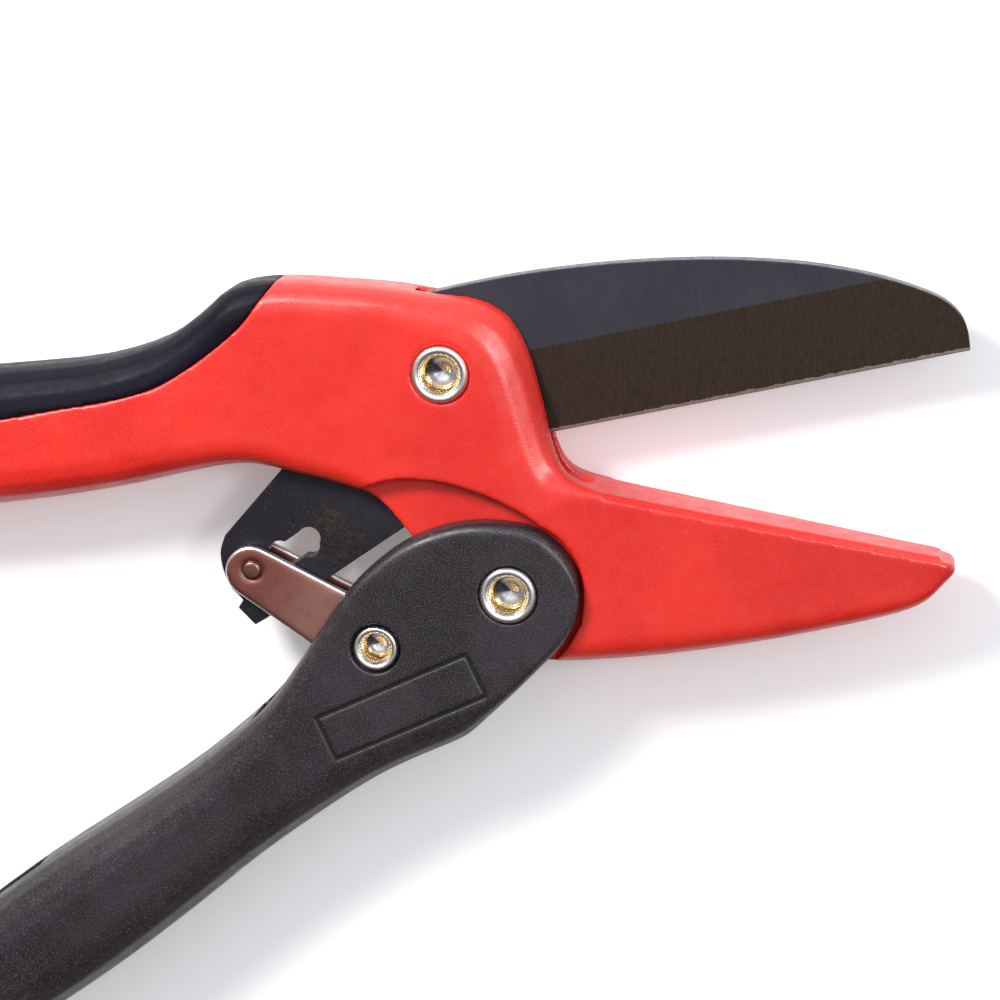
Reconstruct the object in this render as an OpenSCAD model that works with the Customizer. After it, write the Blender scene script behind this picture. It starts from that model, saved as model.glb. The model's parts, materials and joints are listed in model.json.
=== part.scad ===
// Ratchet anvil pruner, lying flat on its back: blade over a fixed anvil jaw, driven by a stepping link.
// Millimetres. +Z up, the jaws point along +X. The blade pivot is the datum of every outline.

/* [Blade] */
// Thickness of the blade steel
blade_t = 3.2; // [2.4:0.1:4]
// Width of the ground bevel, from the edge to the grind line
bevel_w = 13; // [6:0.5:16]
// Thickness left at the cutting edge
edge_t = 0.3; // [0.1:0.1:0.8]
// How far the blade turns to meet the anvil
blade_travel = 22.5; // [15:0.5:30]

/* [Body] */
// Thickness of the head that holds the blade
head_t = 14; // [12:0.5:18]
// Thickness of the lug inside the lower handle
lug_t = 8.4; // [6:0.2:10]
// Clearance on each side of the blade in its slot
slot_gap = 0.2; // [0.1:0.05:0.5]
// Width of the ledge on each side of the raised anvil pad
ledge_w = 0.95; // [0.4:0.05:1.5]
// Height of the anvil pad over its ledges
pad_h = 0.55; // [0.2:0.05:1]

/* [Lower handle] */
// Outside thickness over the two cheeks
cheek_t = 18; // [15:0.5:22]
// Width of the space between the cheeks
cheek_gap = 9; // [7:0.2:11]
// How far the lower handle turns from open to closed
handle_travel = 32.5; // [20:0.5:40]
// Radius of the round boss at the handle pivot
boss_r = 10.5; // [9:0.1:13]

/* [Ratchet] */
// Plate thickness of the link
link_t = 1.4; // [1:0.1:2]
// Outside width of the link
link_w = 6.8; // [5.5:0.1:8]
// Diameter of the pin that steps along the notches
pin_d = 2.8; // [2:0.1:4]

/* [Rivets] */
// Shank diameter of the two large rivets
rivet_d = 6.6; // [5:0.1:8]
// Shank diameter of the link rivet
small_rivet_d = 5.2; // [4:0.1:7]
// Running clearance on the radius of each bore
fit = 0.06; // [0.03:0.01:0.1]

/* [Hidden] */
$fn = 64;
// Datum: where the blade pivot stands over the rest plane, with the outside box centred on the origin
pivot_x = 24.9;
pivot_y = 46.2;
mid_z = cheek_t / 2;

// Pivots, measured from the blade pivot
P2 = [9.4, -33.0];
P3 = [-11.0, -41.4];
P4 = [-30.7, -30.7];
link_len = norm(P4 - P3);
link_rest = atan2(P4.y - P3.y, P4.x - P3.x);
// The link leans over by this much while the lower handle closes
link_lean = 8.3;

// Edge and anvil lines: a slope, and a distance below the blade pivot
edge_slope = 10.9;
edge_drop = 12.8;
anvil_slope = edge_slope - blade_travel;
// The jaw narrows towards its tip by this much on each side
pad_taper = 2.75;
anvil_drop = 13.18;

// Catch at the butts: pivot in the lower handle and keeper in the upper one, both as they stand closed
catch_q = [-103.5, -36.5];
keeper = [-110.0, -18.5];
catch_len = norm(keeper - catch_q);
catch_stow = -6;

// Blank name plate on the front cheek: length, width, and the line's width and depth
plate_l = 26;
plate_w = 7.6;
plate_line = 0.6;
plate_groove = 0.45;

// ---- small helpers ----

function turn(p, a) = [p.x * cos(a) - p.y * sin(a), p.x * sin(a) + p.y * cos(a)];
function swing(p, a = handle_travel) = P2 + turn([p[0], p[1]] - P2, a);
// Smooth curve through the given rows, n steps to each stretch; a row can hold more than a point
function mix(a, b, c, d, t) = 0.5 * (2 * b + (c - a) * t + (2 * a - 5 * b + 4 * c - d) * t * t
    + (3 * b - 3 * c + d - a) * t * t * t);
function smooth(p, n) = concat([for (i = [0 : len(p) - 2], k = [0 : n - 1])
    mix(p[max(i - 1, 0)], p[i], p[i + 1], p[min(i + 2, len(p) - 1)], k / n)], [p[len(p) - 1]]);
function arc(c, r, a0, a1, n) = [for (k = [0 : n]) c + r * [cos(a0 + (a1 - a0) * k / n),
    sin(a0 + (a1 - a0) * k / n)]];

// A row is [top x, top y, bottom x, bottom y, half thickness, top edge radius, bottom edge radius].
// An eighth number draws the top edge's round out along the row, by that factor.
// Its ring is a rounded rectangle standing between the two points.
corner_steps = 4;
function ring(s) = let (t = [s[0], s[1]], b = [s[2], s[3]], l = norm(b - t), e = (b - t) / l,
    w = min(s[4], cheek_t / 2), p = min(s[5], w - 0.05, 0.49 * l), q = min(s[6], w - 0.05, 0.49 * l),
    m = corner_steps, g = len(s) > 7 ? s[7] * p : p,
    uz = concat(
        [for (k = [0 : m]) let (a = 90 * k / m) [g - g * cos(a), w - p + p * sin(a)]],
        [for (k = [0 : m]) let (a = 90 * k / m) [l - q + q * sin(a), w - q + q * cos(a)]],
        [for (k = [0 : m]) let (a = 90 * k / m) [l - q + q * cos(a), q - w - q * sin(a)]],
        [for (k = [0 : m]) let (a = 90 * k / m) [g - g * sin(a), p - w - p * cos(a)]]))
    [for (v = uz) [t.x + e.x * v[0], t.y + e.y * v[0], v[1]]];

// Solid through the rings of the given rows
module loft(rows) {
    n = 4 * (corner_steps + 1);
    m = len(rows);
    pts = [for (r = rows) each ring(r)];
    sides = [for (i = [0 : m - 2], k = [0 : n - 1]) let (a = i * n + k, b = i * n + (k + 1) % n)
        each [[a, b, a + n], [b, b + n, a + n]]];
    first = [[for (k = [0 : n - 1]) n - 1 - k]];
    last = [[for (k = [0 : n - 1]) (m - 1) * n + k]];
    polyhedron(points = pts, faces = concat(sides, first, last), convexity = 8);
}

// Everything is drawn about the blade pivot and set down here
module place() {
    translate([pivot_x, pivot_y, mid_z]) children();
}

module at(p) {
    translate([p.x, p.y, 0]) children();
}

// Slab of a flat outline, centred on the blade's mid plane
module slab(t, z = 0) {
    translate([0, 0, z - t / 2]) linear_extrude(t, convexity = 8) children();
}

// Semi-tubular rivet: flat head at the back, hollow front end rolled over into a lip
module rivet(d, z_back, z_front, head_r, lip_r, hole_r, head_h = 1.3, depth = 3.2) {
    r = d / 2;
    rotate_extrude($fn = 96) polygon(concat(
        [[0, z_back], [head_r - 0.3, z_back], [head_r, z_back + 0.3], [head_r, z_back + head_h],
            [r, z_back + head_h], [r, z_front - 1.2]],
        arc([lip_r - 0.55, z_front - 0.65], 0.55, -90, 0, 4),
        arc([(lip_r + hole_r) / 2, z_front - 0.6], (lip_r - hole_r) / 2, 0, 180, 12),
        [[hole_r - 0.3, z_front - 1.5], [hole_r - 0.85, z_front - depth], [0, z_front - depth - 0.5]]));
}

module washer(r_out, r_in, h, z) {
    translate([0, 0, z]) difference() {
        cylinder(r = r_out, h = h);
        translate([0, 0, -1]) cylinder(r = r_in, h = h + 2);
    }
}

// Close-wound torsion spring: touching coils and two straight legs
module torsion_spring(r, wire, coils, z, leg_a, leg_b, leg) {
    pitch = wire * 0.96;
    union() {
        for (i = [0 : coils - 1]) translate([0, 0, z + i * pitch])
            rotate_extrude() translate([r, 0]) circle(d = wire, $fn = 24);
        rotate([0, 0, leg_a]) translate([0, r, z]) rotate([0, 90, 0])
            cylinder(d = 0.86 * wire, h = leg, $fn = 24);
        rotate([0, 0, leg_b]) translate([0, -r, z + (coils - 1) * pitch]) rotate([0, 90, 0])
            cylinder(d = 0.86 * wire, h = leg, $fn = 24);
    }
}

// ---- body: upper handle, head and anvil jaw in one moulding ----

body_rows = [
    [-127.0, -14.0, -125.6, -19.0, 4.0, 3.0, 3.0, 1],
    [-125.0, -10.5, -122.6, -23.0, 7.4, 6.0, 6.0, 1],
    [-120.0, -7.0, -117.4, -24.6, 8.6, 6.6, 6.6, 1],
    [-108.0, -3.4, -106.0, -23.6, 8.9, 6.6, 6.6, 1],
    [-94.0, -1.4, -92.0, -22.2, 8.9, 6.6, 6.4, 1],
    [-78.0, 0.0, -75.0, -20.8, 8.8, 6.4, 6.2, 1],
    [-66.0, 0.8, -61.0, -19.3, 8.4, 6.0, 5.6, 1],
    [-52.3, 2.1, -48.7, -17.3, 8.0, 5.6, 5.0, 1],
    [-42.5, 5.0, -40.4, -15.5, 7.7, 5.2, 4.6, 1],
    [-36.6, 8.8, -33.4, -14.2, 7.4, 4.8, 4.2, 1],
    [-31.5, 12.7, -28.5, -14.1, 7.2, 4.4, 3.8, 1],
    [-24.2, 13.75, -22.3, -15.5, 7.0, 4.2, 3.4, 1],
    [-14.6, 13.1, -15.4, -17.2, 7.0, 4.0, 3.0, 1],
    [-7.3, 12.4, -10.4, -19.4, 7.0, 3.8, 2.6, 1],
    [-1.2, 11.4, -5.8, -24.9, 7.0, 4.4, 2.4, 1.1],
    [5.6, 10.5, -0.6, -31.2, 7.0, 5.4, 2.2, 1.4],
    [10.4, 7.8, 0.4, -36.0, 7.0, 6.2, 2.2, 1.9],
    [13.2, 2.4, 3.4, -40.6, 7.0, 6.6, 2.2, 2.4],
    [15.0, -5.4, 8.0, -43.2, 7.0, 6.4, 2.6, 2.4],
    [16.0, -11.4, 12.4, -44.2, 6.9, 5.0, 3.0, 2.0],
    [18.0, -15.8, 17.4, -44.4, 6.8, 2.4, 3.4, 1.4],
    [23.0, -18.05, 23.4, -44.2, 6.6, 0.9, 3.6, 1],
    [30.6, -19.75, 31.1, -43.6, 6.3, 0.6, 3.6, 1],
    [40.6, -21.8, 40.4, -42.4, 5.9, 0.6, 3.4, 1],
    [50.6, -23.85, 49.6, -40.9, 5.45, 0.6, 3.2, 1],
    [60.6, -25.9, 59.0, -39.0, 4.95, 0.6, 3.0, 1],
    [68.6, -27.55, 66.4, -37.2, 4.5, 0.6, 2.6, 1],
    [73.4, -28.55, 70.6, -35.4, 4.2, 0.8, 2.2, 1],
    [74.7, -29.6, 73.2, -32.8, 3.8, 1.2, 1.6, 1],
    [75.1, -30.3, 74.8, -31.0, 3.4, 0.6, 0.6, 1]];

// Lower edge of the soft grip on the faces of the upper handle
grip_line = smooth([[-131, -14.5], [-122, -14.2], [-108, -11.8], [-90, -9.4], [-72, -7.0], [-58, -4.8],
    [-50.2, -3.6], [-43.7, -1.9], [-38.7, 0.7], [-33.6, 4.2], [-29.6, 7.6], [-27.0, 10.9], [-24.9, 13.5],
    [-24.0, 16]], 4);

module grip_area() {
    polygon(concat(grip_line, [[-24, 30], [-131, 30]]));
}

// Red core that stands up inside the grip
module grip_core() {
    polygon(concat(smooth([[-119, -10.6], [-108, -7.0], [-94, -5.0], [-78, -3.6], [-66, -2.8],
        [-52.3, -1.6], [-42.5, 1.2], [-36.6, 4.6], [-31.5, 8.2]], 4), [[-28, 4], [-60, -12], [-119, -17]]));
}

module grip_zone() {
    difference() {
        slab(30) grip_area();
        slab(7.6) grip_core();
    }
}

// Room for the blade: its hub, its body down to the anvil and the sweep of its tail
module blade_slot_area() {
    a = anvil_drop + 0.25;
    circle(r = 12.4);
    polygon([
        turn([24, -a], anvil_slope), turn([12, -a], anvil_slope), [9.4, -16.6], [0.4, -20.6],
        [-6.6, -25.2], [-20.4, -34.2], [-60, -60], [-60, -17.6], [-47.4, -11.8], [-16, 3.3], [-11, 6.4],
        [-1.2, 12.3], [-1.2, 30], [60, 30], [60, -6]]);
}

// Outline of the step around the handle pivot, where the lower handle's cheeks turn
module recess_area() {
    at(P2) circle(r = boss_r + 0.5);
    polygon(concat([[17.6, -26.4]], smooth([[17.4, -26.1], [12.9, -22.0], [7.4, -18.9], [1.9, -16.9],
        [-2.6, -16.0], [-8.4, -16.0], [-12.6, -17.4]], 4), [[-30, -30], [-30, -60], [12, -60],
        [15.0, -44.8], [17.9, -41.5], [19.9, -38.0], [20.4, -34.4]]));
}

// Where the link's far end comes up under the upper handle as the lower one closes
module link_room() {
    for (t = [0.7 : 0.1 : 1]) at(swing(P3, -handle_travel * t)) rotate([0, 0, link_rest - link_lean * t])
        translate([link_len - 13, -4.7, -link_w / 2 - 0.4]) cube([17.9, 14, link_w + 0.8]);
}

module body_solid() {
    difference() {
        loft(smooth(body_rows, 3));
        link_room();
        // blade slot
        slab(blade_t + 2 * slot_gap) blade_slot_area();
        // steps down to the lug on both faces
        for (s = [-1, 1]) slab(10, s * (lug_t / 2 + 5)) recess_area();
        // ledges beside the raised anvil pad, and the step where it ends before the tip
        rotate([0, 0, anvil_slope]) {
            for (s = [0, 1]) mirror([0, 0, s]) translate([27, -anvil_drop - pad_h, 6.6 - ledge_w])
                rotate([0, pad_taper, 0]) cube([51, 5, 4]);
            translate([77.2, -anvil_drop - pad_h, -10]) cube([6, 5, 20]);
        }
        // blade rivet: bore, counterbores at both ends and pockets for the washers
        cylinder(d = rivet_d + 2 * fit, h = 60, center = true);
        translate([0, 0, head_t / 2 - 0.6]) cylinder(r = 4.5, h = 5);
        translate([0, 0, -head_t / 2 - 5]) cylinder(r = 6.1, h = 5.6);
        cylinder(r = 8.1, h = blade_t + 2 * slot_gap + 1.6, center = true);
        // handle bushing and the return spring's pocket
        at(P2) cylinder(r = rivet_d / 2 + 1.0, h = 60, center = true);
        at(P2) translate([0, 0, -lug_t / 2 - 1]) cylinder(r = 8.0, h = 6.2);
        // keeper pin and the slot for the catch
        at(keeper) cylinder(d = 3.2, h = 60, center = true);
        slab(4.8) polygon([[-124, -40], [-97, -40], [-101, -12.5], [-118.5, -12.5]]);
    }
}

module anvil_body() {
    color([0.80, 0.07, 0.05]) place() difference() {
        body_solid();
        grip_zone();
    }
}

module upper_grip() {
    color([0.08, 0.08, 0.085]) place() intersection() {
        body_solid();
        grip_zone();
    }
}

// ---- blade ----

spine = smooth([[-1.6, 11.5], [5.9, 13.0], [14.1, 14.3], [25.0, 15.4], [35.7, 15.85], [43.7, 15.75],
    [51.7, 15.2], [58.6, 14.2], [64.8, 12.8], [70.1, 11.05], [73.7, 9.35], [75.9, 7.2], [76.9, 4.7],
    turn([76.2, -edge_drop], edge_slope)], 4);

// Net path of the ratchet pin, seen from the blade, from open (0) to closed (1)
function pin_path(t) = turn(swing(P3, -handle_travel * t)
    + link_len * [cos(link_rest - link_lean * t), sin(link_rest - link_lean * t)], blade_travel * t);

module ratchet_slot(h) {
    r = pin_d / 2 + 0.35;
    path = [for (i = [0 : 12]) pin_path(i / 12)];
    across = [for (i = [0 : 12]) let (d = path[min(i + 1, 12)] - path[max(i - 1, 0)])
        r * [-d.y, d.x] / norm(d)];
    slab(h) polygon(concat(path + across, [for (i = [12 : -1 : 0]) path[i] - across[i]]));
    for (p = [path[0], path[12]]) at(p) cylinder(r = r, h = h, center = true);
    // cups for the pin on the loaded side, and room below the last one
    for (t = [0, 0.5]) at(pin_path(t) + [-0.3, 0.7]) cylinder(r = r, h = h, center = true);
    at(path[12] + [-0.15, -1.1]) cylinder(r = r, h = h, center = true);
}

module blade_outline() {
    polygon(concat([turn([12.6, -edge_drop], edge_slope)], [[6.4, -15.0], [0, -19.6], [-6.8, -24.1],
        [-18.5, -31.8], [-29.2, -38.7], [-31.0, -39.7], [-33.5, -37.0], [-32.7, -35.8]],
        smooth([[-34.4, -34.0], [-35.3, -32.0], [-35.8, -29.8], [-35.8, -27.8], [-35.0, -25.6]], 3),
        [[-32.8, -23.2], [-26.1, -15.8], [-9.0, 3.1]], spine));
}

module blade() {
    lift = atan((blade_t - edge_t) / 2 / bevel_w);
    color([0.13, 0.13, 0.14]) place() difference() {
        union() {
            slab(blade_t) blade_outline();
            cylinder(r = 11.6, h = blade_t, center = true);
        }
        ratchet_slot(blade_t + 2);
        cylinder(r = rivet_d / 2 + 1.0 + fit, h = 20, center = true);
        // bevels ground on both faces, down to the edge
        for (s = [-1, 1]) rotate([0, 0, edge_slope]) translate([9.5, -edge_drop, s * edge_t / 2])
            rotate([s * lift, 0, 0]) translate([0, -5, s > 0 ? 0 : -5]) cube([90, bevel_w + 5.1, 5]);
    }
}

// ---- blade pivot ----

module blade_bushing() {
    color([0.75, 0.75, 0.74]) place()
        washer(rivet_d / 2 + 1.0, rivet_d / 2 + fit, blade_t + 0.3, -blade_t / 2 - 0.15);
}

module blade_washer_front() {
    color([0.7, 0.7, 0.7]) place() washer(8.0, rivet_d / 2 + fit, 0.8, blade_t / 2 + slot_gap);
}

module blade_washer_back() {
    color([0.7, 0.7, 0.7]) place() washer(8.0, rivet_d / 2 + fit, 0.8, -blade_t / 2 - slot_gap - 0.8);
}

module blade_rivet() {
    color([0.82, 0.81, 0.78]) place() rivet(rivet_d, -head_t / 2 - 1.7, head_t / 2 + 0.65, 5.0, 4.25, 3.05);
}

module blade_rivet_washer() {
    color([0.7, 0.7, 0.7]) place() washer(6.0, rivet_d / 2 + fit, 0.9, -head_t / 2 - 0.35);
}

// ---- lower handle ----

handle_near = [
    [19.9, -33.2, 19.85, -34.4, 9.0, 0.5, 0.5],
    [19.3, -29.8, 19.1, -37.6, 9.0, 1.5, 1.5],
    [17.0, -26.2, 17.2, -40.9, 9.0, 1.5, 1.5],
    [13.2, -23.4, 14.2, -44.0, 9.0, 1.5, 1.5],
    [9.0, -22.5, 11.2, -47.0, 9.0, 1.5, 1.6],
    [4.2, -22.3, 8.0, -50.1, 9.0, 1.5, 2.0],
    [-0.8, -23.2, 5.0, -53.0, 9.0, 1.5, 3.0],
    [-6.3, -25.4, 2.5, -55.4, 9.0, 1.5, 4.0],
    [-11.1, -28.8, 0.2, -56.8, 9.0, 1.5, 4.4],
    [-15.0, -32.6, -3.4, -58.4, 9.0, 1.6, 4.6],
    [-19.2, -38.2, -8.6, -60.8, 9.0, 2.2, 4.8]];
handle_far = [
    [-25.6, -25.4, -26.6, -46.4, 9.0, 3.0, 5.0],
    [-34.0, -28.2, -35.4, -46.6, 9.0, 4.4, 5.6],
    [-48.0, -29.9, -48.4, -47.4, 9.0, 5.6, 6.2],
    [-62.0, -30.2, -62.0, -49.0, 9.0, 6.2, 6.6],
    [-78.0, -30.2, -78.0, -50.4, 9.0, 6.6, 6.6],
    [-93.0, -31.0, -93.6, -50.8, 8.9, 6.6, 6.6],
    [-104.0, -32.2, -105.0, -49.0, 8.6, 6.4, 6.4],
    [-110.0, -35.0, -110.6, -45.6, 7.6, 5.2, 5.2],
    [-112.2, -38.6, -112.3, -42.4, 5.2, 1.8, 1.8]];

function opened(s) = let (t = swing([s[0], s[1]]), b = swing([s[2], s[3]]))
    [t.x, t.y, b.x, b.y, s[4], s[5], s[6]];

// Space between the cheeks: round the lug, over the link and its rivet
module cheek_space() {
    at(P2) circle(r = 12.6);
    at(P3) circle(r = 8.9);
    polygon([[-40, -20], [30, -10], [30, -45], [12, -45.6], [1.4, -46.6], [-6, -51.6], [-17.0, -53.6],
        [-30, -60]]);
}

module lower_handle() {
    color([0.09, 0.09, 0.095]) place() difference() {
        loft(concat(smooth(concat(handle_near, [for (s = handle_far) opened(s)]), 3)));
        slab(cheek_gap) cheek_space();
        // back cheek, set in from the front one beside the blade's tail
        slab(6, -cheek_gap / 2 - 3) polygon([[3.0, -10], [3.0, -24.7], [-4.4, -28.0], [-9.9, -30.3],
            [-14.7, -33.6], [-18.6, -37.6], [-23.0, -43.0], [-28.0, -49.6], [-31.5, -54.0], [-45, -50],
            [-30, -10]]);
        // handle rivet
        at(P2) cylinder(d = rivet_d + 2 * fit, h = 60, center = true);
        at(P2) translate([0, 0, cheek_t / 2 - 0.6]) cylinder(r = 4.5, h = 5);
        at(P2) translate([0, 0, -cheek_t / 2 - 5]) cylinder(r = 6.1, h = 7.4);
        // link rivet, sunk in a wider counterbore
        at(P3) cylinder(d = small_rivet_d + 2 * fit, h = 60, center = true);
        at(P3) translate([0, 0, cheek_t / 2 - 1.2]) cylinder(r = 3.85, h = 5);
        at(P3) translate([0, 0, -cheek_t / 2 - 5]) cylinder(r = 5.1, h = 6.5);
        // name plate outline, left blank
        translate([2.9, -41.8, cheek_t / 2 - plate_groove]) rotate([0, 0, 203.6]) difference() {
            cube([plate_l, plate_w, 1]);
            translate([plate_line, plate_line, -1])
                cube([plate_l - 2 * plate_line, plate_w - 2 * plate_line, 3]);
        }
        // catch: pin hole and the slot where it folds away
        at(swing(catch_q)) cylinder(d = 3.2, h = 60, center = true);
        slab(4.8) polygon([for (p = [[-112.5, -20], [-112.5, -40.5], [-107, -41.2], [-100, -41.8],
            [-85, -43.1], [-80.6, -42.2], [-80, -38], [-80, -20]]) swing(p)]);
    }
}

// ---- handle pivot ----

module handle_bushing() {
    color([0.75, 0.75, 0.74]) place() at(P2)
        washer(rivet_d / 2 + 1.0 - fit, rivet_d / 2 + fit, cheek_gap - 0.1, -cheek_gap / 2 + 0.05);
}

module handle_rivet() {
    color([0.82, 0.81, 0.78]) place() at(P2)
        rivet(rivet_d, -cheek_t / 2 + 0.2, cheek_t / 2 + 0.65, 5.0, 4.25, 3.05);
}

module handle_rivet_washer() {
    color([0.7, 0.7, 0.7]) place() at(P2) washer(6.0, rivet_d / 2 + fit, 0.8, -cheek_t / 2 + 1.5);
}

module return_spring() {
    color([0.55, 0.55, 0.56]) place() at(P2) torsion_spring(6.2, 1.3, 3, -3.2, 90, 200, 3.9);
}

// ---- ratchet link ----

// One side plate, drawn with its rivet at the origin and its pin on +X
module link_plate_outline() {
    difference() {
        union() {
            at([link_len, 0.35]) circle(r = 4.1);
            at([0, 1.0]) circle(r = 5.0);
            polygon([[0, -4.0], [link_len, -3.75], [link_len, 4.45], [3, 7.0], [-1.8, 7.0], [-4.9, 2.0]]);
        }
        circle(r = small_rivet_d / 2 + 0.7 + fit);
        at([link_len, 0]) circle(d = pin_d + 2 * fit);
    }
}

module ratchet_link() {
    color([0.72, 0.72, 0.71]) place() at(P3) rotate([0, 0, link_rest]) union() {
        for (s = [-1, 1]) slab(link_t, s * (link_w - link_t) / 2) link_plate_outline();
        // bridge between the plates, behind the link rivet and clear of the blade's tail
        slab(link_w) intersection() {
            difference() {
                circle(r = 7.2);
                circle(r = 5.4);
            }
            polygon([[3, 7.0], [-1.8, 7.0], [-4.9, 2.0], [0, 0]]);
        }
    }
}

module ratchet_pin() {
    z = link_w / 2 + 0.45;
    color([0.4, 0.34, 0.3]) place() at(P4) rotate_extrude() polygon([[0, -z], [1.1, -z], [1.55, -z + 0.35],
        [1.55, -link_w / 2], [pin_d / 2, -link_w / 2], [pin_d / 2, link_w / 2], [1.55, link_w / 2],
        [1.55, z - 0.35], [1.1, z], [0, z]]);
}

// ---- link pivot ----

module link_bushing() {
    color([0.75, 0.75, 0.74]) place() at(P3)
        washer(small_rivet_d / 2 + 0.7, small_rivet_d / 2 + fit, link_w + 0.2, -link_w / 2 - 0.1);
}

module link_washer_front() {
    color([0.7, 0.7, 0.7]) place() at(P3) washer(5.0, small_rivet_d / 2 + fit, 0.85, link_w / 2 + 0.15);
}

module link_washer_back() {
    color([0.7, 0.7, 0.7]) place() at(P3) washer(5.0, small_rivet_d / 2 + fit, 0.85, -link_w / 2 - 1.0);
}

module link_rivet() {
    color([0.82, 0.81, 0.78]) place() at(P3)
        rivet(small_rivet_d, -cheek_t / 2 + 0.2, cheek_t / 2 + 0.1, 4.6, 3.4, 2.45);
}

module ratchet_spring() {
    color([0.55, 0.55, 0.56]) place() at(P3) torsion_spring(4.0, 0.9, 3, -0.9, 150, 20, 0.5);
}

// ---- catch ----

// Flat hook, drawn with its pin at the origin and its arm along +X; the mouth opens towards +Y
module catch_outline() {
    difference() {
        union() {
            circle(r = 3.4);
            at([catch_len, 0]) circle(r = 3.6);
            translate([0, -3.2]) square([catch_len, 5.4]);
        }
        circle(d = 3.2 + 2 * fit);
        at([catch_len, 0]) circle(r = 1.95);
        translate([catch_len - 1.95, 0]) square([3.9, 8]);
    }
}

module catch_hook() {
    color([0.2, 0.2, 0.2]) place() at(swing(catch_q)) rotate([0, 0, catch_stow + handle_travel])
        slab(4.2) catch_outline();
}

module catch_pin() {
    color([0.7, 0.7, 0.7]) place() at(swing(catch_q)) cylinder(d = 3.2 - 0.02, h = 15, center = true);
}

module keeper_pin() {
    color([0.7, 0.7, 0.7]) place() at(keeper) cylinder(d = 3.2 - 0.02, h = 15, center = true);
}

anvil_body();
upper_grip();
blade();
blade_bushing();
blade_washer_front();
blade_washer_back();
blade_rivet();
blade_rivet_washer();
lower_handle();
handle_bushing();
handle_rivet();
handle_rivet_washer();
return_spring();
ratchet_link();
ratchet_pin();
link_bushing();
link_washer_front();
link_washer_back();
link_rivet();
ratchet_spring();
catch_hook();
catch_pin();
keeper_pin();
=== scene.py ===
"""Ratchet anvil pruner lying flat: softened mouldings, turned rivets and procedural finishes."""
import json
import math

import bmesh
import bpy
from mathutils import Matrix, Vector
from mathutils.kdtree import KDTree


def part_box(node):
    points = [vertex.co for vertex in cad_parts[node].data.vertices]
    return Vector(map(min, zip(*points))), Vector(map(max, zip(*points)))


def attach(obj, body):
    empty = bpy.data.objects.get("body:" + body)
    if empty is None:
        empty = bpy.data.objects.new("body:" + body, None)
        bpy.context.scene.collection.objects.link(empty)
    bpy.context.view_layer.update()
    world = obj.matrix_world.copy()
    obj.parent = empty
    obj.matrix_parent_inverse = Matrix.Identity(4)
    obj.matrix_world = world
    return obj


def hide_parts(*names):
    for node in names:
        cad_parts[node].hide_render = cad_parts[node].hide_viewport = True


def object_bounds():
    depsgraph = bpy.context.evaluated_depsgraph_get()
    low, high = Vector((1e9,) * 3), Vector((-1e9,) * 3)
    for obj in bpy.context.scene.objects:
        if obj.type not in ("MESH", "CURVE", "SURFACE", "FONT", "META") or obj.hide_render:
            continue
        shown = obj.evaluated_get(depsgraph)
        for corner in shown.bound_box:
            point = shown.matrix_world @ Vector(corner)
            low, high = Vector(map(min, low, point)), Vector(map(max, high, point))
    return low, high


MM = 0.001
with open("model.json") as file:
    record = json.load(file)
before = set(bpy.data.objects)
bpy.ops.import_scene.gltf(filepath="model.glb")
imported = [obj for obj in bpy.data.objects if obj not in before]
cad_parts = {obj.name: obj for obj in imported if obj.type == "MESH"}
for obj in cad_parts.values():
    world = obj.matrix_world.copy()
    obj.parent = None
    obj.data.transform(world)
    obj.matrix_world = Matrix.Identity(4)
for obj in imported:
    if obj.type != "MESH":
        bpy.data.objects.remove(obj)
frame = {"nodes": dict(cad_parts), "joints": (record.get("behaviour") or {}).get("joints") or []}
cad_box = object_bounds()
scene = bpy.context.scene
joints = {j["name"]: j for j in frame["joints"]}
BLADE_PIVOT = Vector(joints["blade_cut"]["pos_m"])
HANDLE_PIVOT = Vector(joints["handle_squeeze"]["pos_m"])
LINK_PIVOT = Vector(joints["link_step"]["pos_m"])
PIN = (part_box("ratchet_pin")[0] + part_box("ratchet_pin")[1]) / 2
LINK_TURN = math.atan2(PIN.y - LINK_PIVOT.y, PIN.x - LINK_PIVOT.x)


def from_blade_pivot(x, y, z):
    """A point given in millimetres from the blade pivot."""
    return BLADE_PIVOT + Vector((x, y, z)) * MM


# the blade: its edge's slope and distance from the pivot, the ground bevel, and the middle of the
# dried sap round the end of the ratchet slot
EDGE_SLOPE = math.radians(10.9)
EDGE_DROP = 12.8 * MM
BEVEL_WIDTH = 13 * MM
SAP_CENTRE = from_blade_pivot(-18.4, -25.7, 1.6)

# the blank name plate, whose outline groove gets painted shade: its corner on the front cheek, the direction
# of its long side, and its outline
PLATE_CORNER = from_blade_pivot(2.9, -41.8, 9.0)
PLATE_TURN = math.radians(203.6)
PLATE_LENGTH = 26 * MM
PLATE_WIDTH = 7.6 * MM
PLATE_LINE = 0.6 * MM

# the camera: its place, the way it looks, what is up for it, and its lens in millimetres
CAMERA_PLACE = from_blade_pivot(73.86, 77.08, 435.77)
CAMERA_VIEW = (-0.14737, -0.21607, -0.96519)
CAMERA_UP = (0, 0.97585, -0.21846)
CAMERA_LENS = 108

# grain of the moulded skins: fine speckle, and the pebbles of the hard and the soft plastic
SPECK = 0.20 * MM
HARD_GRAIN = 0.26 * MM
SOFT_GRAIN = 0.24 * MM

# remeshing: points closer than WELD are joined, a join sharper than CREASE is a real edge,
# and smoothing grows from none at EDGE_NEAR from a real edge to BROAD_TURNS at EDGE_FAR
WELD = 2e-6
CREASE = math.radians(35)
EDGE_NEAR = 0.7 * MM
EDGE_FAR = 2.4 * MM
BROAD_TURNS = 12
SHARE_STEPS = 12

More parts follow.
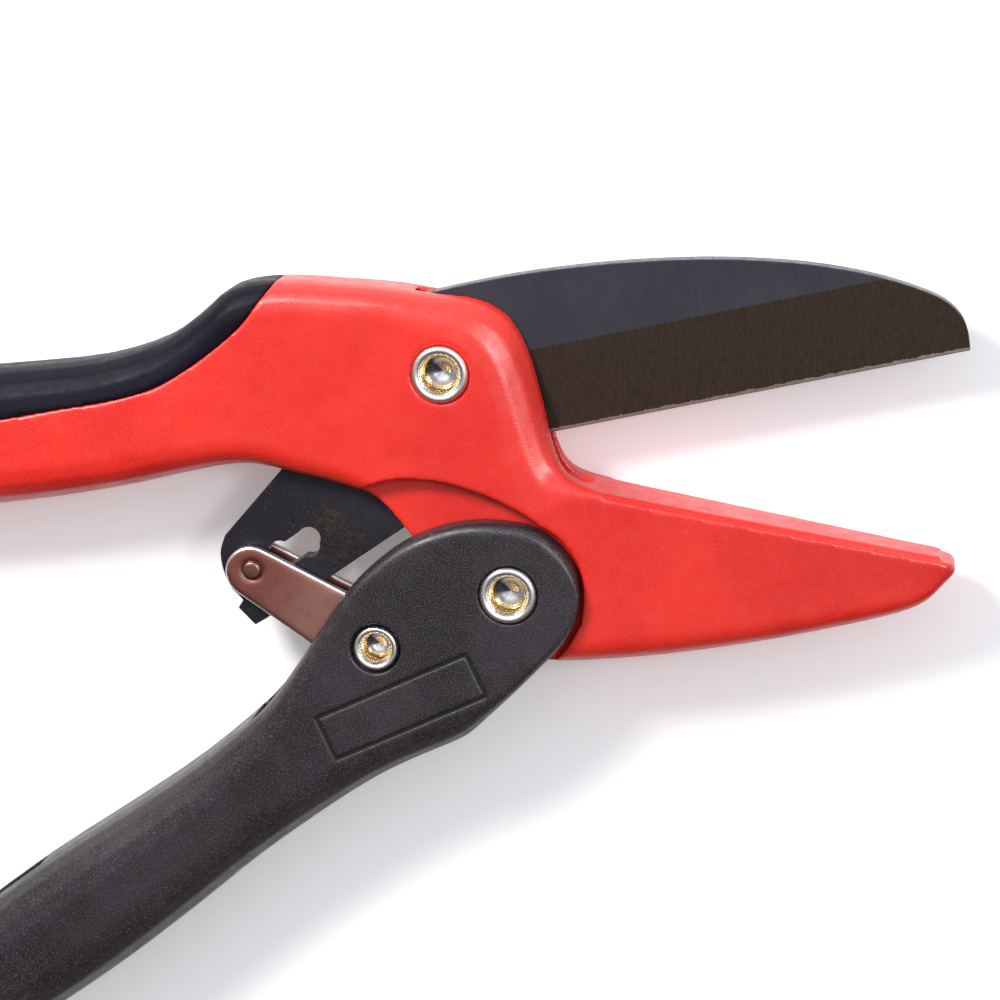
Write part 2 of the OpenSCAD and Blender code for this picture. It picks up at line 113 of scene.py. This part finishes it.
# radii of the rivets in millimetres
LARGE_RIVET = {"shank": 3.3, "lip": 4.25, "hole": 3.05, "head": 5.0}
SMALL_RIVET = {"shank": 2.6, "lip": 3.4, "hole": 2.45, "head": 4.6}

# material indices of a turned piece: outside, bore, drilled bottom
OUTER, BORE, CONE = 0, 1, 2


# ---- camera ----

def aim(obj, forward, up):
    """Turns a camera or lamp so that it looks along forward, with up towards the top."""
    back = -Vector(forward).normalized()
    right = Vector(up).cross(back).normalized()
    turned = Matrix((right, back.cross(right), back)).transposed()
    obj.matrix_world = Matrix.Translation(obj.location) @ turned.to_4x4()


def make_camera():
    data = bpy.data.cameras.new("camera")
    data.sensor_width = 36
    data.lens = CAMERA_LENS
    data.clip_start = 0.01
    camera = bpy.data.objects.new("camera", data)
    scene.collection.objects.link(camera)
    camera.location = CAMERA_PLACE
    aim(camera, CAMERA_VIEW, CAMERA_UP)
    scene.camera = camera


# ---- node materials ----

class Shader:
    """Small helper that adds and joins the nodes of one material."""

    def __init__(self, name):
        self.material = bpy.data.materials.new(name)
        self.material.use_nodes = True
        self.tree = self.material.node_tree
        self.bsdf = self.tree.nodes["Principled BSDF"]
        self.place = self.add("ShaderNodeTexCoord").outputs["Object"]

    def add(self, kind, **settings):
        node = self.tree.nodes.new(kind)
        for key, value in settings.items():
            setattr(node, key, value)
        return node

    def link(self, source, socket):
        if isinstance(source, (int, float, tuple, list)):
            socket.default_value = source
        else:
            self.tree.links.new(source, socket)

    def value(self, name, amount):
        self.bsdf.inputs[name].default_value = amount

    def noise(self, size, detail=4, rough=0.55, stretch=(1, 1, 1), turn=0.0):
        """Noise with features of about that size in metres, stretched along the turned axes."""
        mapping = self.add("ShaderNodeMapping", vector_type="TEXTURE")
        mapping.inputs["Scale"].default_value = stretch
        mapping.inputs["Rotation"].default_value = (0, 0, turn)
        self.link(self.place, mapping.inputs["Vector"])
        node = self.add("ShaderNodeTexNoise")
        node.inputs["Scale"].default_value = 1 / size
        node.inputs["Detail"].default_value = detail
        node.inputs["Roughness"].default_value = rough
        self.link(mapping.outputs["Vector"], node.inputs["Vector"])
        return node.outputs["Fac"]

    def ramp(self, source, low, high, start=0.0, end=1.0):
        """Maps source from the range low..high smoothly to start..end, clamped."""
        node = self.add("ShaderNodeMapRange", clamp=True, interpolation_type="SMOOTHSTEP")
        self.link(source, node.inputs["Value"])
        for socket, amount in zip(("From Min", "From Max", "To Min", "To Max"), (low, high, start, end)):
            node.inputs[socket].default_value = amount
        return node.outputs["Result"]

    def maths(self, operation, a, b=0.0):
        node = self.add("ShaderNodeMath", operation=operation)
        self.link(a, node.inputs[0])
        self.link(b, node.inputs[1])
        return node.outputs[0]

    def mix(self, factor, a, b):
        node = self.add("ShaderNodeMix", data_type="RGBA")
        self.link(factor, node.inputs["Factor"])
        self.link(a if not isinstance(a, tuple) else (*a, 1), node.inputs["A"])
        self.link(b if not isinstance(b, tuple) else (*b, 1), node.inputs["B"])
        return node.outputs["Result"]

    def along(self, origin, angle):
        """Distance from a point, measured along a direction in the plane of the tool."""
        shift = self.add("ShaderNodeVectorMath", operation="SUBTRACT")
        self.link(self.place, shift.inputs[0])
        shift.inputs[1].default_value = origin
        dot = self.add("ShaderNodeVectorMath", operation="DOT_PRODUCT")
        self.link(shift.outputs[0], dot.inputs[0])
        dot.inputs[1].default_value = (math.cos(angle), math.sin(angle), 0)
        return dot.outputs["Value"]

    def bump(self, *layers):
        """Adds bump layers of (height, depth in metres)."""
        normal = None
        for height, depth in layers:
            node = self.add("ShaderNodeBump")
            node.inputs["Distance"].default_value = depth
            self.link(height, node.inputs["Height"])
            if normal is not None:
                self.link(normal, node.inputs["Normal"])
            normal = node.outputs["Normal"]
        self.link(normal, self.bsdf.inputs["Normal"])

    def normal_z(self):
        """How squarely the surface faces up or down, from -1 to 1."""
        split = self.add("ShaderNodeSeparateXYZ")
        self.link(self.add("ShaderNodeNewGeometry").outputs["Normal"], split.inputs[0])
        return split.outputs["Z"]

    def pointiness(self):
        return self.add("ShaderNodeNewGeometry").outputs["Pointiness"]


def moulded(name, base, deep, pale, roughness, grain, wear, specular=0.5, flecks=0.45, groove_shade=None):
    """Glass-filled moulding: cloudy colour, fine speckle, a slightly pebbled skin and rubbed edges, with
    painted shade in a groove where one is given.
    """
    s = Shader(name)
    cloud = s.ramp(s.noise(18 * MM, 3), 0.35, 0.65)
    fleck = s.ramp(s.noise(SPECK, 2, 0.6), 0.52, 0.70)
    dark = s.ramp(s.noise(SPECK * 1.7, 2, 0.6), 0.60, 0.74)
    colour = s.mix(cloud, deep, base)
    colour = s.mix(s.maths("MULTIPLY", fleck, flecks), colour, pale)
    colour = s.mix(s.maths("MULTIPLY", dark, 0.35), colour, deep)
    rubbed = s.maths("MULTIPLY", s.ramp(s.pointiness(), 0.53, 0.60), s.ramp(s.noise(3 * MM, 5), 0.45, 0.65))
    colour = s.mix(s.maths("MULTIPLY", rubbed, wear), colour, pale)
    rough = s.ramp(s.noise(2.5 * MM, 4), 0.3, 0.7, roughness - 0.06, roughness + 0.07)
    # painted shade: the groove is darkened to near black and made rough
    if groove_shade:
        shade = groove_shade(s)
        colour = s.mix(s.maths("MULTIPLY", shade, 0.9), colour, (0.002, 0.002, 0.002))
        rough = s.maths("MAXIMUM", rough, s.maths("MULTIPLY", shade, 0.95))
    s.link(colour, s.bsdf.inputs["Base Color"])
    s.link(rough, s.bsdf.inputs["Roughness"])
    s.value("Specular IOR Level", specular)
    s.bump((s.noise(grain, 3, 0.6), 0.028 * MM), (s.noise(9 * MM, 2), 0.012 * MM))
    return s.material


def red_nylon():
    return moulded("red_nylon", (0.72, 0.024, 0.014), (0.63, 0.015, 0.011), (0.84, 0.085, 0.050),
                   roughness=0.34, grain=HARD_GRAIN, wear=0.12, specular=0.55)


def black_nylon(name="black_nylon", groove_shade=None):
    return moulded(name, (0.023, 0.018, 0.022), (0.010, 0.008, 0.010), (0.150, 0.130, 0.155),
                   roughness=0.40, grain=HARD_GRAIN, wear=0.30, flecks=0.6, groove_shade=groove_shade)


def plate_groove_shade(s):
    """Painted shade in the recessed outline of the blank name plate on the front cheek: share of a point
    inside that groove.
    """
    half_length, half_width = PLATE_LENGTH / 2, PLATE_WIDTH / 2
    right, down = s.along(PLATE_CORNER, PLATE_TURN), s.along(PLATE_CORNER, PLATE_TURN + math.pi / 2)
    past_ends = s.maths("SUBTRACT", s.maths("ABSOLUTE", s.maths("SUBTRACT", right, half_length)), half_length)
    past_sides = s.maths("SUBTRACT", s.maths("ABSOLUTE", s.maths("SUBTRACT", down, half_width)), half_width)
    band = s.maths("ABSOLUTE", s.maths("ADD", s.maths("MAXIMUM", past_ends, past_sides), PLATE_LINE / 2))
    depth = s.add("ShaderNodeSeparateXYZ")
    s.link(s.place, depth.inputs[0])
    front = s.maths("GREATER_THAN", depth.outputs["Z"], PLATE_CORNER.z - 1.5 * MM)
    return s.maths("MULTIPLY", s.ramp(band, 0.20 * MM, 0.46 * MM, 1, 0), front)


def soft_grip():
    return moulded("soft_grip", (0.005, 0.004, 0.010), (0.003, 0.003, 0.007), (0.022, 0.020, 0.030),
                   roughness=0.46, grain=SOFT_GRAIN, wear=0.15, specular=0.10)


def dried_sap(s):
    """Share of a point inside the brown spots of a ragged patch round the end of the ratchet slot."""
    offset = s.add("ShaderNodeVectorMath", operation="DISTANCE")
    s.link(s.place, offset.inputs[0])
    offset.inputs[1].default_value = SAP_CENTRE
    ragged = s.ramp(s.noise(2.4 * MM, 4, 0.7), 0.3, 0.7, -1.6 * MM, 1.6 * MM)
    ring = s.maths("ADD", offset.outputs["Value"], ragged)
    return s.maths("MULTIPLY", s.ramp(ring, 3.6 * MM, 6.2 * MM, 1, 0),
                   s.ramp(s.noise(0.6 * MM, 5, 0.7), 0.42, 0.60))


def bare_edge(s, height, reach):
    """Share of bare steel along the cutting edge, with a few nicks, from a point's place on the bevel."""
    nick = s.ramp(s.noise(1.2 * MM, 3, 0.6), 0.35, 0.70, 0.40 * MM, 0.62 * MM)
    bare = s.maths("MULTIPLY", s.ramp(s.maths("SUBTRACT", height, nick), 0, 0.1 * MM, 1, 0),
                   s.ramp(reach, 12 * MM, 12.5 * MM))
    return s.maths("MULTIPLY", bare, s.ramp(s.noise(0.5 * MM, 4, 0.7), 0.30, 0.52, 0.35, 1))


def blade_coating():
    """Dark coating with a browner bevel, grinding lines across it and a bare edge."""
    s = Shader("blade_coating")
    heel = BLADE_PIVOT + Vector((math.sin(EDGE_SLOPE), -math.cos(EDGE_SLOPE), 0)) * EDGE_DROP
    height = s.along(heel, EDGE_SLOPE + math.pi / 2)
    reach = s.along(heel, EDGE_SLOPE)
    on_bevel = s.maths("MULTIPLY", s.ramp(height, BEVEL_WIDTH - 0.15 * MM, BEVEL_WIDTH + 0.15 * MM, 1, 0),
                       s.ramp(reach, 9 * MM, 10 * MM))
    lines = s.noise(0.22 * MM, 4, 0.6, (1, 80, 1), EDGE_SLOPE)
    fine = s.noise(0.16 * MM, 2, 0.5, (1, 40, 1), EDGE_SLOPE)
    cloud = s.ramp(s.noise(12 * MM, 4), 0.35, 0.7)
    flat = s.mix(cloud, (0.021, 0.021, 0.033), (0.027, 0.026, 0.039))
    ground = s.mix(s.ramp(lines, 0.35, 0.65), (0.022, 0.012, 0.007), (0.034, 0.021, 0.012))
    colour = s.mix(on_bevel, flat, ground)
    # a darker, dusty tail with dried sap on it
    tail = s.ramp(s.along(BLADE_PIVOT, math.radians(235)), 16 * MM, 33 * MM)
    colour = s.mix(s.maths("MULTIPLY", tail, 0.85), colour, (0.005, 0.0035, 0.006))
    dust = s.maths("MULTIPLY", s.ramp(s.noise(0.35 * MM, 2, 0.6), 0.62, 0.70),
                   s.ramp(s.noise(5 * MM, 2), 0.42, 0.6))
    colour = s.mix(s.maths("MULTIPLY", s.maths("MULTIPLY", dust, tail), 0.4), colour, (0.13, 0.13, 0.16))
    spots = dried_sap(s)
    amber = s.mix(s.ramp(s.noise(1.1 * MM, 4), 0.4, 0.62), (0.005, 0.003, 0.002), (0.032, 0.016, 0.004))
    colour = s.mix(s.maths("MULTIPLY", spots, 0.9), colour, amber)
    # the bare cutting edge, and scuffs with a painted highlight on the side walls round the rim
    bare = bare_edge(s, height, reach)
    colour = s.mix(bare, colour, (0.46, 0.38, 0.34))
    rim = s.ramp(s.maths("ABSOLUTE", s.normal_z()), 0.80, 0.97, 1, 0)
    rim_scuff_and_highlight = s.maths("MULTIPLY", rim, s.ramp(s.noise(1.4 * MM, 5), 0.42, 0.60, 0.15, 1))
    colour = s.mix(s.maths("MULTIPLY", rim_scuff_and_highlight, 0.7), colour, (0.17, 0.17, 0.20))
    s.link(colour, s.bsdf.inputs["Base Color"])
    s.link(s.maths("MAXIMUM", bare, s.maths("MULTIPLY", rim_scuff_and_highlight, 0.6)), s.bsdf.inputs["Metallic"])
    s.value("Specular IOR Level", 0.35)
    rough = s.mix(on_bevel, (0.42, 0.42, 0.42), (0.36, 0.36, 0.36))
    s.link(s.maths("ADD", rough, s.ramp(fine, 0.3, 0.7, -0.05, 0.08)), s.bsdf.inputs["Roughness"])
    relief = s.maths("MULTIPLY", on_bevel, lines)
    s.bump((relief, 0.012 * MM), (s.noise(0.25 * MM, 3), 0.006 * MM), (spots, 0.02 * MM))
    return s.material


def steel(name, base, dull, roughness, stain=0.3):
    """Bare or plated steel with fine grain and faint stains."""
    s = Shader(name)
    s.value("Metallic", 1.0)
    grain = s.noise(0.15 * MM, 4, 0.65)
    blotch = s.ramp(s.noise(2.2 * MM, 5), 0.45, 0.70)
    colour = s.mix(s.ramp(grain, 0.3, 0.7), dull, base)
    colour = s.mix(s.maths("MULTIPLY", blotch, stain), colour, dull)
    s.link(colour, s.bsdf.inputs["Base Color"])
    s.link(s.ramp(grain, 0.25, 0.75, roughness - 0.07, roughness + 0.10), s.bsdf.inputs["Roughness"])
    s.bump((grain, 0.006 * MM), (s.noise(1.2 * MM, 3), 0.012 * MM))
    return s.material


def drilled_cone(pivot):
    """Bottom of a rivet's hole: fine turning marks, with painted highlight, painted shade and a gold painted
    highlight in sectors where such marks would catch the light.
    """
    s = Shader("rivet_bottom")
    s.value("Metallic", 1.0)
    flat = s.add("ShaderNodeVectorMath", operation="MULTIPLY")
    offset = s.add("ShaderNodeVectorMath", operation="SUBTRACT")
    s.link(s.place, offset.inputs[0])
    offset.inputs[1].default_value = pivot
    s.link(offset.outputs[0], flat.inputs[0])
    flat.inputs[1].default_value = (1, 1, 0)
    unit = s.add("ShaderNodeVectorMath", operation="NORMALIZE")
    s.link(flat.outputs[0], unit.inputs[0])

    def painted_sector(angle, inner, outer):
        """1 within inner degrees of that direction, 0 beyond outer."""
        dot = s.add("ShaderNodeVectorMath", operation="DOT_PRODUCT")
        s.link(unit.outputs[0], dot.inputs[0])
        dot.inputs[1].default_value = (math.cos(math.radians(angle)), math.sin(math.radians(angle)), 0)
        return s.ramp(dot.outputs["Value"], math.cos(math.radians(outer)), math.cos(math.radians(inner)))

    # painted light over the silver: a gold painted highlight sector, a dark sector of painted shade and a
    # white sector of painted highlight
    colour = s.mix(painted_sector(52, 30, 66), (0.60, 0.61, 0.66), (0.95, 0.66, 0.36))
    colour = s.mix(painted_sector(158, 16, 46), colour, (0.06, 0.06, 0.09))
    colour = s.mix(painted_sector(278, 24, 52), colour, (1.0, 1.0, 1.0))
    fine = s.add("ShaderNodeTexNoise")
    fine.inputs["Scale"].default_value = 9
    s.link(unit.outputs[0], fine.inputs["Vector"])
    colour = s.mix(s.ramp(fine.outputs["Fac"], 0.4, 0.7, 0, 0.35), colour, (0.45, 0.42, 0.40))
    s.link(colour, s.bsdf.inputs["Base Color"])
    s.link(s.ramp(fine.outputs["Fac"], 0.3, 0.7, 0.16, 0.30), s.bsdf.inputs["Roughness"])
    rings = s.add("ShaderNodeVectorMath", operation="LENGTH")
    s.link(flat.outputs[0], rings.inputs[0])
    wave = s.maths("SINE", s.maths("MULTIPLY", rings.outputs["Value"], math.tau / (0.12 * MM)))
    s.bump((wave, 0.002 * MM), (s.noise(0.6 * MM, 3), 0.006 * MM))
    return s.material


def link_steel():
    """Pressed steel with painted reflections: a brown painted reflection on its flat faces and a bright
    painted reflection on its rolled edges.
    """
    s = Shader("link_steel")
    s.value("Metallic", 1.0)
    # painted reflection: faces turned squarely up or down take the brown, faces that turn away take the
    # bright silver
    flat = s.ramp(s.maths("ABSOLUTE", s.normal_z()), 0.90, 0.985)
    streak = s.noise(0.3 * MM, 4, 0.65, (30, 1, 1), LINK_TURN)
    # the brown painted reflection is darker at the pin and lighter towards the link's rivet
    along = s.along(PIN, LINK_TURN + math.pi)
    brown = s.mix(s.ramp(along, 0, 16 * MM), (0.46, 0.17, 0.13), (0.74, 0.38, 0.31))
    brown = s.mix(s.maths("MULTIPLY", s.ramp(streak, 0.35, 0.7), 0.35), brown, (0.30, 0.15, 0.12))
    brown = s.mix(s.ramp(s.noise(2.5 * MM, 5), 0.5, 0.75, 0, 0.4), brown, (0.22, 0.11, 0.09))
    s.link(s.mix(flat, (0.88, 0.90, 0.93), brown), s.bsdf.inputs["Base Color"])
    s.link(s.ramp(streak, 0.25, 0.75, 0.24, 0.40), s.bsdf.inputs["Roughness"])
    s.bump((streak, 0.004 * MM), (s.noise(1.2 * MM, 3), 0.010 * MM))
    return s.material


# ---- pieces made from the frame's own solids ----

def new_object(name, mesh):
    obj = bpy.data.objects.new(name, mesh)
    scene.collection.objects.link(obj)
    return obj


def baked(obj):
    """Applies the object's modifiers to its mesh."""
    graph = bpy.context.evaluated_depsgraph_get()
    mesh = bpy.data.meshes.new_from_object(obj.evaluated_get(graph))
    obj.modifiers.clear()
    obj.data = mesh


def sharp_points(mesh, angle, spacing):
    """Points along the edges of a solid where its faces meet more sharply than angle."""
    bm = bmesh.new()
    bm.from_mesh(mesh)
    points = []
    for edge in bm.edges:
        if len(edge.link_faces) == 2 and edge.calc_face_angle(0) > angle:
            a, b = (v.co for v in edge.verts)
            count = max(1, int((b - a).length / spacing))
            points += [a.lerp(b, k / count) for k in range(count + 1)]
    bm.free()
    return points


def welded(node, flat=0):
    """A copy of a CAD node's mesh with its points joined, and faces that meet within flat degrees."""
    mesh = frame["nodes"][node].data.copy()
    mesh.materials.clear()
    bm = bmesh.new()
    bm.from_mesh(mesh)
    bmesh.ops.remove_doubles(bm, verts=bm.verts, dist=WELD)
    if flat:
        bmesh.ops.dissolve_limit(bm, angle_limit=math.radians(flat), verts=bm.verts, edges=bm.edges)
    bm.to_mesh(mesh)
    bm.free()
    return mesh


def edge_shares(obj, points):
    """Vertex group that is 0 near the points on real edges and 1 well away from them."""
    tree = KDTree(len(points))
    for k, point in enumerate(points):
        tree.insert(point, k)
    tree.balance()
    members = [[] for _ in range(SHARE_STEPS + 1)]
    for vertex in obj.data.vertices:
        distance = tree.find(vertex.co)[2]
        share = min(max((distance - EDGE_NEAR) / (EDGE_FAR - EDGE_NEAR), 0), 1)
        members[round(share * SHARE_STEPS)].append(vertex.index)
    group = obj.vertex_groups.new(name="broad")
    for k, indices in enumerate(members):
        group.add(indices, k / SHARE_STEPS, "REPLACE")
    return group.name


def softened(node, body, finish, voxel, fine=3):
    """A close remesh of a CAD node, smoothed well away from its real edges and only lightly on them."""
    mesh = welded(node)
    points = sharp_points(mesh, CREASE, 0.3 * MM)
    obj = new_object(node + "_piece", mesh)
    remesh = obj.modifiers.new("skin", "REMESH")
    remesh.mode = "VOXEL"
    remesh.voxel_size = voxel
    baked(obj)
    everywhere = ""
    for turns, group in ((BROAD_TURNS, edge_shares(obj, points)), (fine, everywhere)):
        smooth = obj.modifiers.new("smooth", "SMOOTH")
        smooth.factor = 0.5
        smooth.iterations = turns
        smooth.vertex_group = group
    baked(obj)
    obj.vertex_groups.clear()
    dressed(obj, body, finish, node)


def crisp(node, body, finish, width, seam):
    """A CAD node with its real edges rounded over. Joins sharper than seam degrees stay hard."""
    obj = new_object(node + "_piece", welded(node, flat=0.4))
    bevel = obj.modifiers.new("rounded", "BEVEL")
    bevel.limit_method = "ANGLE"
    bevel.angle_limit = math.radians(30)
    bevel.width = width
    bevel.segments = 2
    bevel.use_clamp_overlap = False
    baked(obj)
    dressed(obj, body, finish, node)
    obj.data.set_sharp_from_angle(angle=math.radians(seam))


def dressed(obj, body, finish, node):
    """Gives a piece its finish or list of finishes, attaches it to what it rides on, and hides the CAD node
    it stands for.
    """
    for material in finish if isinstance(finish, list) else [finish]:
        obj.data.materials.append(material)
    obj.data.shade_smooth()
    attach(obj, body)
    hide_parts(node)


def keep(material, *nodes):
    """Gives a finish to CAD nodes that stay as they are."""
    for node in nodes:
        slots = frame["nodes"][node].data.materials
        slots.clear()
        slots.append(material)


# ---- turned pieces ----

def lathe(name, centre, profile, turns=128):
    """Revolves (radius, height, material index) rows, in millimetres, about the vertical through centre."""
    bm = bmesh.new()
    rings = []
    for radius, height, _ in profile:
        if radius < 1e-6:
            rings.append([bm.verts.new(centre + Vector((0, 0, height * MM)))])
            continue
        ring = []
        for k in range(turns):
            a = math.tau * k / turns
            offset = Vector((radius * math.cos(a), radius * math.sin(a), height)) * MM
            ring.append(bm.verts.new(centre + offset))
        rings.append(ring)
    for (low, high), row in zip(zip(rings, rings[1:]), profile[1:]):
        for k in range(turns):
            j = (k + 1) % turns
            corners = [low[k % len(low)], low[j % len(low)], high[j % len(high)], high[k % len(high)]]
            unique = list(dict.fromkeys(corners))
            face = bm.faces.new(unique)
            face.material_index = row[2]
    bmesh.ops.recalc_face_normals(bm, faces=bm.faces)
    mesh = bpy.data.meshes.new(name)
    bm.to_mesh(mesh)
    bm.free()
    return new_object(name, mesh)


def arc(cx, cz, radius, start, end, count):
    """Rows of a lathe profile along an arc, with angles in degrees from outward towards up."""
    angles = [math.radians(start + (end - start) * k / count) for k in range(count + 1)]
    return [(cx + radius * math.cos(a), cz + radius * math.sin(a), OUTER) for a in angles]


def rivet(node, pivot, body, metals, shank, lip, hole, head):
    """Semi-tubular rivet: flat head at the back, rolled lip round a tapering hole with a drilled bottom."""
    low, high = (corner.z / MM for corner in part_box(node))
    back = low - pivot.z / MM
    front = high - pivot.z / MM
    rim = (lip - hole) / 2
    profile = [(0, back, OUTER), (head - 0.5, back, OUTER), *arc(head - 0.4, back + 0.4, 0.4, -90, 0, 5),
               (head, back + 1.25, OUTER), (shank, back + 1.3, OUTER), (shank, front - 1.2, OUTER),
               (lip - 0.55, front - 1.18, OUTER), *arc(lip - 0.5, front - 0.66, 0.5, -80, 45, 8),
               *arc(lip - rim, front - rim, rim * 0.98, 50, 120, 8),
               *arc(hole + rim * 0.55, front - rim * 0.75, rim * 0.55, 135, 180, 4),
               (hole - 0.08, front - 1.0, OUTER), (hole - 0.28, front - 1.45, OUTER),
               (hole - 0.36, front - 1.5, BORE), (hole - 0.6, front - 2.4, BORE),
               (hole - 0.82, front - 3.1, BORE), (hole - 0.84, front - 3.2, BORE),
               (hole - 0.92, front - 3.2, CONE), (hole - 0.98, front - 3.14, CONE),
               (hole * 0.4, front - 3.42, CONE), (hole * 0.08, front - 3.66, CONE), (0, front - 3.68, CONE)]
    obj = lathe(node + "_piece", pivot, profile)
    dressed(obj, body, [*metals, drilled_cone(pivot)], node)


def make_pin(finish):
    """The link's pin. Its collars cover its holes in the softened link."""
    upper = [(1.4, 2.8, OUTER), (2.6, 2.9, OUTER), (2.6, 3.31, OUTER), (1.46, 3.33, OUTER),
             *arc(0.95, 3.3, 0.5, 0, 90, 6), (0, 3.85, OUTER)]
    lower = [(radius, -height, index) for radius, height, index in reversed(upper)]
    pin = lathe("ratchet_pin_piece", PIN, lower + upper, 64)
    dressed(pin, "link", finish, "ratchet_pin")


# ---- the scene ----

def soft_box(name, offset, size, power, colour):
    """Square lamp at an offset from the object's centre, which it faces."""
    centre = (Vector(cad_box[0]) + Vector(cad_box[1])) / 2
    data = bpy.data.lights.new(name, "AREA")
    data.shape = "RECTANGLE"
    data.size = data.size_y = size
    data.energy = power
    data.color = colour
    lamp = new_object(name, data)
    lamp.location = centre + Vector(offset)
    aim(lamp, -Vector(offset), (0, 1, 0.01))
    return lamp


def make_floor():
    s = Shader("floor")
    s.link(s.mix(s.ramp(s.noise(60 * MM, 3), 0.3, 0.7), (0.95, 0.95, 0.95), (0.97, 0.97, 0.97)),
           s.bsdf.inputs["Base Color"])
    s.value("Roughness", 0.8)
    s.value("Emission Color", (1, 1, 1, 1))
    s.value("Emission Strength", 0.2)
    bpy.ops.mesh.primitive_plane_add(size=6, location=(0, 0, 0))
    floor = bpy.context.object
    floor.name = "floor"
    floor.data.materials.append(s.material)


def make_lamps():
    """A warm key, a weak cool side lamp, and a lamp that only shows in reflections."""
    soft_box("key", (-0.16, 0.29, 0.27), size=0.10, power=1.85, colour=(1, 0.97, 0.94))
    soft_box("side", (0.34, 0.15, 0.45), size=0.10, power=0.55, colour=(0.96, 0.98, 1))
    gleam = soft_box("gleam", (0.36, 0.22, 0.42), size=0.16, power=1.5, colour=(1, 0.98, 0.96))
    gleam.visible_diffuse = False


def make_sky():
    """Soft sky, cool and bright towards +Y and up, warm and dark on the other side."""
    world = bpy.data.worlds.new("studio")
    world.use_nodes = True
    tree = world.node_tree
    direction = tree.nodes.new("ShaderNodeTexCoord").outputs["Generated"]
    axis = tree.nodes.new("ShaderNodeVectorMath")
    axis.operation = "DOT_PRODUCT"
    axis.inputs[1].default_value = (0.25, 0.80, 0.55)
    tree.links.new(direction, axis.inputs[0])
    ramp = tree.nodes.new("ShaderNodeValToRGB")
    ramp.color_ramp.elements[0].position = 0.0
    ramp.color_ramp.elements[0].color = (0.12, 0.08, 0.07, 1)
    ramp.color_ramp.elements[1].position = 0.95
    ramp.color_ramp.elements[1].color = (1.05, 1.12, 1.25, 1)
    for position, colour in ((0.34, (0.44, 0.42, 0.44, 1)), (0.62, (0.64, 0.66, 0.70, 1))):
        ramp.color_ramp.elements.new(position).color = colour
    tree.links.new(axis.outputs["Value"], ramp.inputs["Fac"])
    tree.links.new(ramp.outputs["Color"], tree.nodes["Background"].inputs["Color"])
    scene.world = world
    scene.view_settings.view_transform = "Standard"


def make_pruner():
    red, black, grip, coating = red_nylon(), black_nylon(), soft_grip(), blade_coating()
    cheek = black_nylon("black_cheek", plate_groove_shade)
    silver = steel("rivet_silver", (0.94, 0.93, 0.92), (0.82, 0.80, 0.77), 0.26)
    gold = steel("rivet_gold", (0.90, 0.70, 0.34), (0.66, 0.46, 0.18), 0.20, stain=0.5)
    rolled = link_steel()
    browned = steel("pin_steel", (0.36, 0.18, 0.14), (0.18, 0.09, 0.07), 0.34, stain=0.6)
    plain = steel("plain_steel", (0.58, 0.58, 0.57), (0.42, 0.42, 0.41), 0.30)
    wire = steel("spring_steel", (0.40, 0.40, 0.41), (0.25, 0.25, 0.26), 0.32)

    softened("anvil_body", "frame", red, 0.30 * MM, fine=9)
    softened("upper_grip", "frame", grip, 0.30 * MM)
    softened("lower_handle", "handle", cheek, 0.26 * MM)
    crisp("blade", "blade", coating, 0.14 * MM, seam=5.5)
    softened("ratchet_link", "link", rolled, 0.20 * MM, fine=70)
    softened("catch_hook", "catch", black, 0.22 * MM, fine=4)

    rivet("blade_rivet", BLADE_PIVOT, "frame", [silver, gold], **LARGE_RIVET)
    rivet("handle_rivet", HANDLE_PIVOT, "handle", [silver, gold], **LARGE_RIVET)
    rivet("link_rivet", LINK_PIVOT, "handle", [silver, gold], **SMALL_RIVET)
    make_pin(browned)

    keep(plain, "blade_bushing", "blade_washer_front", "blade_washer_back", "blade_rivet_washer",
         "handle_bushing", "handle_rivet_washer", "link_bushing", "link_washer_front", "link_washer_back",
         "catch_pin", "keeper_pin")
    keep(wire, "return_spring", "ratchet_spring")


make_camera()
make_pruner()
make_floor()
make_lamps()
make_sky()
